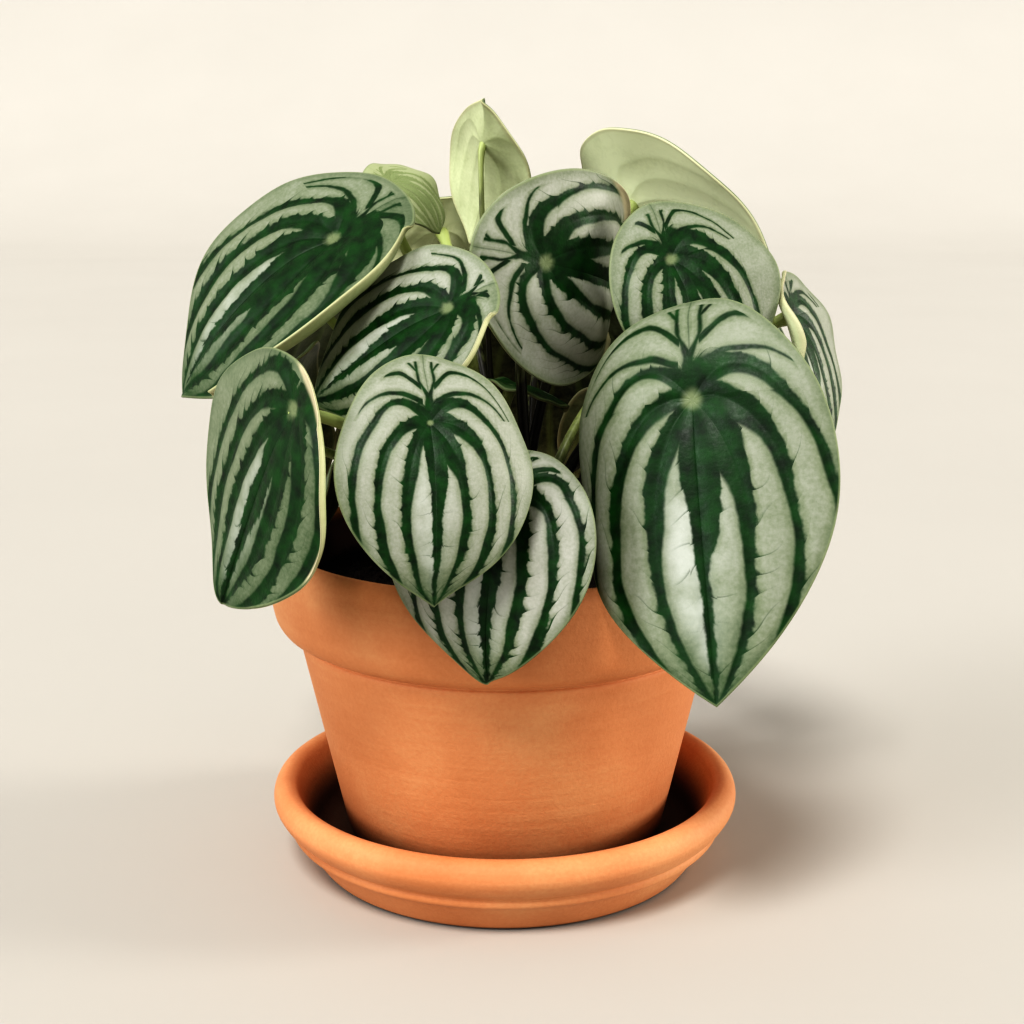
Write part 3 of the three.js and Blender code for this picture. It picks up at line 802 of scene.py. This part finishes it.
def teeth(add, at, spacing):
    """The bands' teeth: they grow slowly along the vein, lean to the tip, and end at once. Gives
    a tooth's length at a point, the share of the tooth that lies behind it, and its luck."""
    lean = add("MULTIPLY", [at.inner, -TOOTH_LEAN])
    phase = add("MULTIPLY", [add("ADD", [at.way, lean]), TEETH])
    phase = add("ADD", [phase, add("MULTIPLY", [spacing, 1.6])])
    growing = add("FRACT", [phase])
    off_midrib = add("MULTIPLY_ADD", [at.panel, 0.6, 0.4])
    off_midrib = add("MINIMUM", [off_midrib, 1])
    half_seed = add("ADD", [at.seed, at.side])
    tooth_seed = add("CombineXYZ", [add("FLOOR", [phase]), at.panel, half_seed])
    luck = add("TexWhiteNoise", [tooth_seed], noise_dimensions="3D").outputs["Value"]
    tooth = add("POWER", [growing, 4.2])
    length = add("MapRange", [luck, 0, 1, *TOOTH_LENGTHS])
    length = add("MULTIPLY", [length, blade_habit(add, "teeth")])
    for factor in (length, off_midrib):
        tooth = add("MULTIPLY", [tooth, factor])
    return tooth, growing, luck


def base_veins(add, at, bands, rough, margin):
    """How far a point is past the thin veins behind the hub: a pair that runs from the hub and
    forks before the margin, and two more that arch out to each side."""
    below = add("MULTIPLY", [at.v, -1])
    apart = add("MapRange", [below, 0.13, 0.25, 0, 0.042], **SMOOTH)
    fork = add("MAXIMUM", [add("SUBTRACT", [below, 0.3]), 0])
    thick = add("MapRange", [below, 0.05, 0.2, 0.034, 0.008])
    pair = []
    for spread in (0.05, 0.75):
        line = add("ADD", [apart, add("MULTIPLY", [fork, spread])])
        away = add("ABSOLUTE", [add("SUBTRACT", [at.u, line])])
        pair.append(add("SUBTRACT", [away, thick]))
    for start, dip, bend_from in BASE_ARCHES:
        dipping = add("MapRange", [at.u, 0, 0.15, start, start - dip], **SMOOTH)
        beyond = add("MAXIMUM", [add("SUBTRACT", [at.u, bend_from]), 0])
        rising = add("MULTIPLY", [add("POWER", [beyond, 2]), 3.2])
        arch = add("ADD", [dipping, rising])
        away = add("ABSOLUTE", [add("SUBTRACT", [at.v, arch])])
        slender = add("MapRange", [at.u, 0.03, 0.3, 0.016, 0.006])
        slender = add("MULTIPLY", [slender, bands])
        before = add("MapRange", [at.u, 0.02, 0.035, 1, 0])
        away = add("SUBTRACT", [away, slender])
        pair.append(add("ADD", [away, before]))
    pair = add("MINIMUM", [add("MINIMUM", pair[:2]), add("MINIMUM", pair[2:])])
    ending = add("MapRange", [margin, 1.8, 2.8, 0.05, 0])
    pair = add("ADD", [pair, ending])
    above = add("MapRange", [below, 0.02, 0, 0, 1])
    return add("ADD", [add("MULTIPLY_ADD", [rough, -0.4, pair]), above])


def leaf_upper(name):
    """The blade's upper face. Dark green bands lie along the veins, toothed on their outer side,
    and the panels between them are silver, mottled with green towards bands and margin."""
    material, add = new_material(name)
    at = vein_nodes(add)
    # the left half of some blades is greener and more widely banded: partly their own pattern,
    # partly painted shade
    darker = add("MapRange", [at.side, -1, 1, blade_habit(add, "dark_side"), 0])
    bands = add("MULTIPLY", [blade_habit(add, "bands"), add("MULTIPLY_ADD", [darker, 0.45, 1])])
    silver = add("MULTIPLY", [blade_habit(add, "silver"), add("MULTIPLY_ADD", [darker, -0.4, 1])])
    margin = blade_habit(add, "margin")
    noise = {label: add("TexNoise", {"Vector": at.point, "Scale": RUN / size, "Detail": detail,
                                     "Roughness": roughness})
             for label, (size, detail, roughness) in UPPER_PATTERNS.items()}

    # how wide the band of each vein is, for the veins on both sides of a panel
    widths = []
    for shares in (BAND_SHARES[:-1], BAND_SHARES[1:]):
        steps = [(max(0, (i - 0.5) / PANELS), share) for i, share in enumerate(shares)]
        ramp = add("ValToRGB", [add("DIVIDE", [at.panel, PANELS])], stops=steps)
        ramp.color_ramp.interpolation = "CONSTANT"
        widths.append(ramp.outputs["Color"])
    star = blade_habit(add, "star")
    from_hub = add("DIVIDE", [at.to_hub, star])
    widened = add("MapRange", [from_hub, 0, STAR_REACH, STAR_SWELL, 0], **SMOOTH)
    star = add("MULTIPLY", [widened, star])
    heavier = add("MapRange", [at.side, -1, 1, 1.1, 0.5])
    star = add("MULTIPLY", [star, heavier])
    # the band along the midrib is the widest, most of all near the hub
    by_midrib = add("LESS_THAN", [at.panel, 0.5])
    midrib = add("MapRange", [at.to_hub, 0.08, 0.75, MIDRIB_SWELL, 0])
    for factor in (by_midrib, heavier):
        midrib = add("MULTIPLY", [midrib, factor])
    thinning = add("MapRange", [at.to_tip, 0, 0.34, 0.25, 1])
    rough = add("MapRange", [noise["band_notches"], 0.3, 0.7, -0.007, 0.007])

    tooth, growing, luck = teeth(add, at, noise["tooth_spacing"])
    uneven = add("MapRange", [noise["band_swells"], 0.35, 0.65, 0.75, 1.3])
    plain = add("ADD", [BAND_HALF, star])
    inner_plain = add("ADD", [plain, midrib])
    for factor in (bands, thinning, uneven):
        plain = add("MULTIPLY", [plain, factor])
        inner_plain = add("MULTIPLY", [inner_plain, factor])
    ragged = add("MULTIPLY_ADD", [blade_habit(add, "teeth"), 0.6, 0.4])
    rough = add("MULTIPLY", [rough, ragged])
    toothed = add("ADD", [add("ADD", [inner_plain, tooth]), rough])
    smooth = add("MULTIPLY_ADD", [rough, 0.35, plain])
    masks = []
    for distance, share, half in ((at.inner, widths[0], toothed), (at.outer, widths[1], smooth)):
        half = add("MULTIPLY", [half, share])
        masks.append(add("SUBTRACT", [distance, half]))
    past_band = add("MINIMUM", masks)
    past_band = add("MINIMUM", [past_band, base_veins(add, at, bands, rough, margin)])
    banded = add("MapRange", [past_band, -BAND_BLUR, BAND_BLUR, 1, 0], **SMOOTH)

    # panels: silver in the middle, greener at their edges, with fine mottling
    clear = add("MapRange", [past_band, 0, 0.03, 0.7, 1], **SMOOTH)
    inland = add("MapRange", [margin, 0.5, 3.5, 0.68, 1], **SMOOTH)
    before_tip = add("MapRange", [at.to_tip, 0.02, 0.3, 0.3, 1])
    share = silver
    for factor in (clear, inland, before_tip):
        share = add("MULTIPLY", [share, factor])
    share = shifted(add, share, ((noise["mottling"], 0.45), (noise["patches"], 0.3)))
    panel = add("ValToRGB", [share], ((0, "#34502b"), (0.45, "#7d866f"), (1, "#b1b2aa")))
    # the panels beside the midrib get a painted highlight half way down, most of all on one side
    rising = add("MapRange", [at.way, 0.12, 0.4], **SMOOTH)
    falling = add("MapRange", [at.way, 0.75, 1, 1, 0], **SMOOTH)
    one_side = add("MapRange", [at.side, -1, 1, 0.35, 1])
    soft_side = add("MapRange", [at.outer, 0, 0.08], **SMOOTH)
    painted_highlight = add("MapRange", [noise["patches"], 0.1, 0.6])
    for factor in (rising, falling, one_side, soft_side, by_midrib, blade_habit(add, "sheen")):
        painted_highlight = add("MULTIPLY", [painted_highlight, factor])
    panel = add("Mix", {0: painted_highlight, MIX_A: panel, MIX_B: linear("#bfc3bd")}, data_type="RGBA")

    # thin dark lines cross the panels from the longest teeth
    thread = add("MapRange", [growing, 0.9, 0.97])
    lucky = add("MapRange", [luck, 0.3, 0.8, 0, 0.6])
    fading = add("MapRange", [at.inner, 0.04, 0.12, 1, 0])
    off_hub = add("MapRange", [at.to_hub, 0.1, 0.25])
    for factor in (lucky, fading, off_hub):
        thread = add("MULTIPLY", [thread, factor])

    band_tone = add("ValToRGB", [noise["band_clouds"]], ((0.3, "#08220a"), (0.75, "#1a4a1a")))
    colour = add("Mix", {0: thread, MIX_A: panel, MIX_B: band_tone}, data_type="RGBA")
    colour = add("Mix", {0: banded, MIX_A: colour, MIX_B: band_tone}, data_type="RGBA")

    # the pale spot over the stalk, and the pale rim
    distance = add("VectorMath", [add("CombineXYZ", [at.u, at.v])], operation="LENGTH")
    distance = add("DIVIDE", [distance.outputs["Value"], blade_habit(add, "spot")])
    bright = add("MapRange", [add("ADD", [distance, rough]), 0.016, 0.055, 0.9, 0], **SMOOTH)
    colour = add("Mix", {0: bright, MIX_A: colour, MIX_B: linear("#7c8766")}, data_type="RGBA")
    young = blade_habit(add, "young")
    fresh = add("ValToRGB", [add("MULTIPLY", [banded, noise["mottling"]])],
                ((0, "#a3ab86"), (1, "#66793f")))
    colour = add("Mix", {0: young, MIX_A: colour, MIX_B: fresh}, data_type="RGBA")
    lip = blade_habit(add, "rim")
    rim = add("MapRange", [lip, 0.4, 1, 1, 0], **SMOOTH)
    lip_width = add("DIVIDE", [margin, add("ADD", [lip, 0.01])])
    folded = add("MapRange", [lip_width, 1.2 * RIM_WIDTH, 2 * RIM_WIDTH])
    edge = add("Mix", {0: folded, MIX_A: linear("#8b9572"), MIX_B: linear("#cbc2a4")},
               data_type="RGBA")
    rim = add("MULTIPLY", [rim, add("MULTIPLY_ADD", [folded, 0.35, 0.6])])
    colour = add("Mix", {0: rim, MIX_A: colour, MIX_B: edge}, data_type="RGBA")

    # skin: waxy and half glossy, with fine bubbles and sunk veins
    sunk = add("MapRange", [past_band, -0.03, 0.02])
    height = add("ADD", [sunk, add("MULTIPLY", [noise["bubbles"], 0.6])])
    skin = add("Bump", {"Height": height, "Strength": 0.25, "Distance": 0.4 * MM})
    gloss = add("MapRange", [noise["mottling"], 0.3, 0.7, 0.42, 0.56])
    shade(add, {"Base Color": colour, "Roughness": gloss, "Normal": skin,
                "Specular IOR Level": 0.36})
    return material


def leaf_under(name):
    """The blade's underside: a matt skin, pale green to cream, with darker ribs."""
    material, add = new_material(name)
    at = vein_nodes(add)
    nearest = add("MINIMUM", [at.inner, at.outer])
    rib = add("MapRange", [nearest, 0.006, 0.03, 1, 0], **SMOOTH)
    rib = add("MULTIPLY", [rib, add("MULTIPLY", [blade_habit(add, "ribs"), 0.3])])
    grain = add("TexNoise", {"Vector": at.point, "Scale": RUN / UNDERSIDE_GRAIN, "Detail": 4})
    clouds = add("TexNoise", {"Vector": at.point, "Scale": RUN / UNDERSIDE_CLOUDS, "Detail": 2})
    tone = shifted(add, blade_habit(add, "pale"), ((grain, 0.18), (clouds, 0.35)))
    # the cream end is a pale underside brightened by painted light shining through the blade
    ramp = add("ValToRGB", [tone], ((0, "#1c2710"), (0.5, "#a8b284"), (1, "#e6ecca")))
    colour = add("Mix", {0: rib, MIX_A: ramp, MIX_B: linear("#8a9c5e")}, data_type="RGBA")
    rim = add("MapRange", [blade_habit(add, "margin"), 0.3, 1.4, 0.6, 0])
    colour = add("Mix", {0: rim, MIX_A: colour, MIX_B: linear("#b9b591")}, data_type="RGBA")
    skin = add("Bump", {"Height": grain, "Strength": 0.25, "Distance": 0.3 * MM})
    shade(add, {"Base Color": colour, "Roughness": 0.55, "Normal": skin})
    return material


def stalk_skin(name):
    """Leaf stalks: a juicy skin with a soft gloss and fine lengthwise streaks, pale green below the
    blade and nearly black low down: the stalk's own dark tone deepened by painted shade."""
    material, add = new_material(name)
    place = add("TexCoord").outputs["Object"]
    stretched = add("Mapping", {"Vector": place, "Scale": (1, 1, 0.12)})
    streaks = add("TexNoise", {"Vector": stretched, "Scale": METRE / STALK_STREAKS, "Detail": 3})
    way = blade_habit(add, "along")
    tone = add("ADD", [way, add("MULTIPLY", [streaks, 0.3])])
    # the nearly black low end is painted shade among the leaves over the stalk's own dark tone
    ramp = add("ValToRGB", [tone], ((0, "#120b08"), (0.7, "#1c190e"), (1, "#a9b578")))
    skin = add("Bump", {"Height": streaks, "Strength": 0.2, "Distance": 0.2 * MM})
    shade(add, {"Base Color": ramp, "Roughness": 0.42, "Normal": skin, "Coat Weight": 0.15,
                "Coat Roughness": 0.3})
    return material


def terracotta(name):
    """Unglazed fired clay: matt, uneven in tone, with fine sandy pits and turning marks."""
    material, add = new_material(name)
    place = add("TexCoord").outputs["Object"]
    clouds = add("TexNoise", {"Vector": place, "Scale": METRE / CLAY_CLOUDS, "Detail": 5})
    sand = add("TexNoise", {
        "Vector": place, "Scale": METRE / SAND, "Detail": 3, "Roughness": 0.65})
    level = add("Mapping", {"Vector": place, "Scale": (0.04, 0.04, 1)})
    turning = add("TexNoise", {"Vector": level, "Scale": METRE / TURNING_MARKS, "Detail": 3})
    tone = add("MapRange", [clouds, 0.3, 0.7, 0.25, 0.75])
    tone = shifted(add, tone, ((sand, 0.35), (turning, 0.2)))
    ramp = add("ValToRGB", [tone], ((0, "#bd7a4c"), (0.5, "#ce9064"), (1, "#dbaa7d")))
    # the inner wall is darker over the soil
    x, y, z = add("SeparateXYZ", [place]).outputs
    radius = add("VectorMath", [add("CombineXYZ", [x, y])], operation="LENGTH").outputs["Value"]
    inside = add("MapRange", [radius, (POT_RIM_RADIUS - 7) * MM, (POT_RIM_RADIUS - 5) * MM, 1, 0])
    high = add("MapRange", [z, (POT_SHOULDER + 5) * MM, (POT_SHOULDER + 9) * MM])
    dark_inner_wall = add("MULTIPLY", [inside, high])
    ramp = add("Mix", {0: dark_inner_wall, MIX_A: ramp, MIX_B: linear("#4a2413")}, data_type="RGBA")
    # the dish of the saucer round the pot's foot is darker too: painted shade under the pot and
    # leaves
    wall = add("MULTIPLY_ADD", [z, -0.35, radius])
    dish = SAUCER_RADIUS - 13.6
    within = add("MapRange", [wall, dish * MM, (dish + 1) * MM, 1, 0])
    shade_from, shade_to = (SAUCER_FLOOR + 4) * MM, (SAUCER_FLOOR + 15) * MM
    depth = add("MapRange", [z, shade_from, shade_to, 0.92, 0], **SMOOTH)
    dish_shade = add("MULTIPLY", [within, depth])
    ramp = add("Mix", {0: dish_shade, MIX_A: ramp, MIX_B: linear("#24100a")}, data_type="RGBA")
    height = add("ADD", [sand, turning])
    skin = add("Bump", {"Height": height, "Strength": 0.3, "Distance": 0.4 * MM})
    shade(add, {"Base Color": ramp, "Roughness": 0.68, "Normal": skin, "Specular IOR Level": 0.5})
    return material


def potting_mix(name):
    """Potting mix: dark peat and bark, every grain of a tone of its own."""
    material, add = new_material(name)
    place = add("TexCoord").outputs["Object"]
    grains = add("TexVoronoi", {"Vector": place, "Scale": METRE / BARK})
    fine = add("TexNoise", {"Vector": place, "Scale": METRE / PEAT, "Detail": 3})
    tone = add("MULTIPLY", [grains.outputs["Color"], fine])
    ramp = add("ValToRGB", [tone], ((0, "#1d130d"), (0.4, "#21160f"), (1, "#5c4532")))
    skin = add("Bump", {"Height": fine, "Strength": 0.6, "Distance": 0.6 * MM})
    shade(add, {"Base Color": ramp, "Roughness": 0.92, "Normal": skin})
    return material


def plain_floor(name):
    """Studio floor: pale matt paper with the faintest unevenness."""
    material, add = new_material(name)
    place = add("TexCoord").outputs["Object"]
    clouds = add("TexNoise", {"Vector": place, "Scale": METRE / PAPER_CLOUDS, "Detail": 4})
    ramp = add("ValToRGB", [clouds], ((0, "#b6b3ad"), (1, "#bbb8b2")))
    shade(add, {"Base Color": ramp, "Roughness": 0.85})
    return material


# ---------------------------------------------------------------- the object

CLAY = terracotta("terracotta")
MIX = potting_mix("potting_mix")
STALK = stalk_skin("stalk")
UPPER = leaf_upper("leaf_upper")
UNDER = leaf_under("leaf_underside")

for node, profile, closed in (("pot", pot_profile(), True), ("saucer", saucer_profile(), False)):
    mesh = turned(node + "_visual", profile, closed)
    finished(new_piece(mesh.name, mesh, [CLAY]), node)

bed = turned("soil_visual", soil_profile(), closed=False, sides=SOIL_SIDES)
grains = grown("soil_grains", bed, potting_mix_tree(MIX),
               {label: size * MM for label, (size, _, _) in GRAINS.items()})
finished(new_piece("soil_visual", grains, [MIX]), "soil")

for crown, (x, y) in CROWNS.items():
    mesh = turned(f"crown_{crown}_visual", crown_profile(), closed=False, sides=CROWN_SIDES)
    for vertex in mesh.vertices:
        vertex.co += Vector((x * MM, y * MM, 0))
    finished(new_piece(mesh.name, mesh, [STALK]), f"crown_{crown}")

# The first leaves of the list face the camera and have a finer net: points round, and rings.
FACING_LEAVES = 13
FINE_NET, PLAIN_NET = (176, 46), (112, 26)

tree = stalk_tree(STALK)
feet = place_stalks()
for place, leaf in enumerate(LEAVES):
    net = FINE_NET if place < FACING_LEAVES else PLAIN_NET
    blade = new_piece(leaf.name + "_visual", blade_mesh(leaf, *net), [UPPER, UNDER])
    tube = grown(leaf.name + "_stalk", stalk_path(leaf, feet[leaf.name]), tree,
                 {"Foot radius": STALK_FOOT * MM, "Neck radius": leaf.stalk_neck * MM,
                  "Light": leaf.stalk_light})
    stalk = new_piece(leaf.name + "_stalk", tube, [])
    with bpy.context.temp_override(active_object=blade, selected_editable_objects=[blade, stalk]):
        bpy.ops.object.join()
    finished(blade, leaf.name)

# ---------------------------------------------------------------- stage, lights and camera

# The floor runs back and sweeps up into a plain backdrop. Its sizes are in metres.
FLOOR_REACH = 30
SWEEP_START = 3
SWEEP_RADIUS = 2
BACKDROP_HEIGHT = 9

sweep = [(-FLOOR_REACH, 0), (SWEEP_START, 0)]
sweep += [(SWEEP_START + SWEEP_RADIUS * np.sin(angle), SWEEP_RADIUS * (1 - np.cos(angle)))
          for angle in np.radians(range(5, 91, 5))]
sweep += [(SWEEP_START + SWEEP_RADIUS, BACKDROP_HEIGHT)]
corners = [(x, y, z) for y, z in sweep for x in (-FLOOR_REACH, FLOOR_REACH)]
strips = [(2 * i, 2 * i + 1, 2 * i + 3, 2 * i + 2) for i in range(len(sweep) - 1)]
ground = bpy.data.meshes.new("floor")
ground.from_pydata(corners, [], strips)
ground.shade_smooth()
floor = new_piece("floor", ground, [plain_floor("paper")])


def soft_light(name, towards, spread, strength, colour):
    """A distant lamp that seems as large as its spread in degrees."""
    light = bpy.data.lights.new(name, "SUN")
    light.angle = np.radians(spread)
    light.energy = strength
    light.color = linear(colour)[:3]
    lamp = bpy.data.objects.new(name, light)
    lamp.location = towards
    lamp.rotation_euler = Vector(towards).to_track_quat("Z", "Y").to_euler()
    bpy.context.scene.collection.objects.link(lamp)


soft_light("key", (-0.25, -0.85, 1.2), 16, 1.75, "#fffdfa")
soft_light("left", (-0.85, -0.4, 0.34), 26, 1.05, "#fbfcff")
soft_light("right", (0.95, 0.05, 0.2), 16, 1.6, "#fffaf4")

scene = bpy.context.scene
world = bpy.data.worlds.new("studio")
scene.world = world
world.use_nodes = True
sky = world.node_tree.nodes["Background"].inputs
sky["Color"].default_value = linear("#e0deda")
sky["Strength"].default_value = 0.52

# the camera stands here, in metres, and looks down by this many degrees
CAMERA_PLACE = (0.002, -0.434, 0.195)
CAMERA_PITCH = 12.45

lens = bpy.data.cameras.new("camera")
lens.lens = 56.25
lens.sensor_width = 36
camera = bpy.data.objects.new("camera", lens)
camera.location = CAMERA_PLACE
camera.rotation_euler = (np.radians(90 - CAMERA_PITCH), 0, 0)
scene.collection.objects.link(camera)
scene.camera = camera
scene.view_settings.view_transform = "Standard"
scene.view_settings.look = "Very High Contrast"
